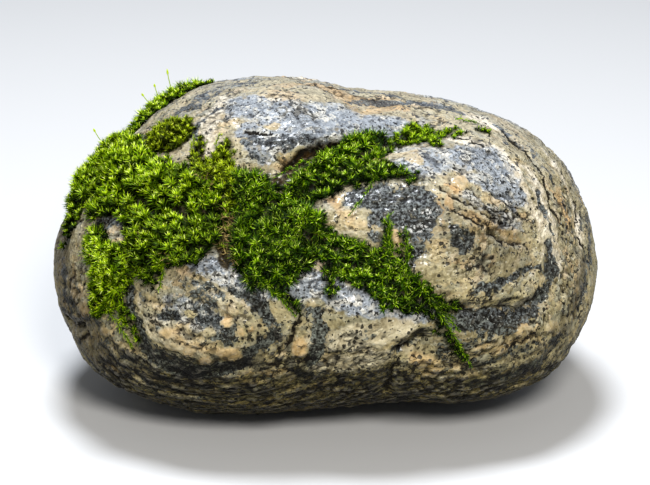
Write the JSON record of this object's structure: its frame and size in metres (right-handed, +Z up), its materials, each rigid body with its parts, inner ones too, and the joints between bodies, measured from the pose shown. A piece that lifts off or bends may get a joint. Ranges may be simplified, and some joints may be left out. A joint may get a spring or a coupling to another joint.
{
  "type": "mossy rock",
  "caption": "Water-worn oblong cobble of banded gneiss with patches of green moss along its seams and over one shoulder.",
  "frame": {"origin": "centre of the bounding box, on the ground under the stone", "axes": "+X along the stone's length, +Z up, broad mossy face towards -Y"},
  "size_m": [0.2604, 0.2048, 0.1581],
  "materials": {
    "gneiss": "water-worn and slightly glossy, banded cream, grey and near black",
    "bright_moss": "soft, leafy, lime green",
    "dark_moss": "soft, leafy, deep green",
    "olive_moss": "soft, leafy, olive"
  },
  "bodies": {
    "root": {"stone": "gneiss", "moss_mat": "bright_moss", "moss_apron": "bright_moss", "moss_crown": "bright_moss", "moss_heart": "dark_moss", "moss_ridge": "dark_moss", "moss_slope": "dark_moss", "moss_saddle": "olive_moss", "moss_button": "olive_moss", "moss_ridge_tip": "olive_moss", "moss_tuft": "olive_moss"}
  },
  "joints": []
}
